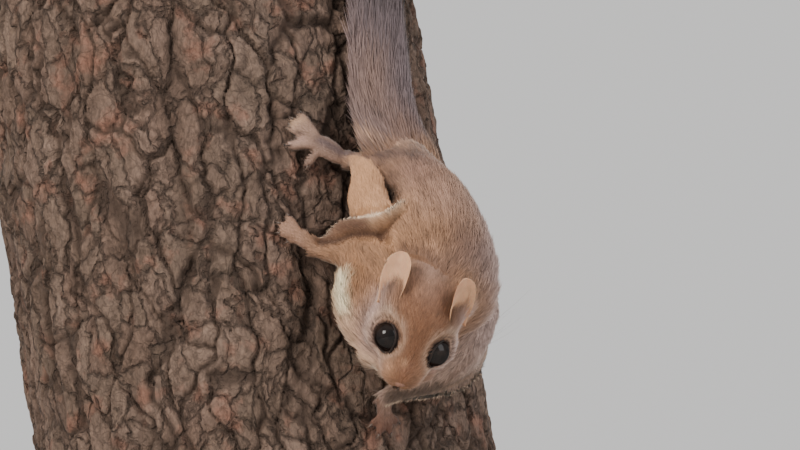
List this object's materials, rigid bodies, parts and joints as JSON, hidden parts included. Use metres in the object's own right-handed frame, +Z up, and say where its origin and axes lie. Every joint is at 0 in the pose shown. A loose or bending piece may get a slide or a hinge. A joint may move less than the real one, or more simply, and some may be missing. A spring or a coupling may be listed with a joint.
{
  "type": "flying squirrel",
  "caption": "Small gliding squirrel with large dark eyes, loose gliding membranes and a flat furry tail, clinging head down to a cut length of tree trunk on a plain display stand.",
  "frame": {"origin": "centre of the underside of the stand's base, on the floor", "axes": "+Z up along the trunk; -Y towards the viewer of the picture; the animal is on the -Y and +X side of the trunk, head down"},
  "size_m": [0.1685, 0.1873, 0.276],
  "materials": {
    "fur_back": "matt",
    "fur_throat": "matt",
    "fur_head": "matt",
    "fur_cream": "matt",
    "fur_tail": "matt",
    "foot_fur": "matt",
    "ear_skin": "matt",
    "eye": "wet gloss",
    "bark": "rough",
    "base_wood": "satin",
    "rod_steel": "satin"
  },
  "bodies": {
    "root": {"perch_trunk": "bark", "torso": "fur_back", "neck": "fur_throat", "head": "fur_head", "eye_right": "eye", "eye_left": "eye", "ear_right": "ear_skin", "ear_left": "ear_skin", "foreleg_right": "fur_back", "foreleg_left": "fur_back", "hindleg_right": "fur_back", "hindleg_left": "fur_back", "forefoot_right": "foot_fur", "forefoot_left": "foot_fur", "hindfoot_right": "foot_fur", "hindfoot_left": "foot_fur", "membrane_right": "fur_cream", "membrane_left": "fur_back", "tail": "fur_tail", "stand_base": "base_wood", "stand_rod_1": "rod_steel", "stand_rod_2": "rod_steel"}
  },
  "joints": []
}
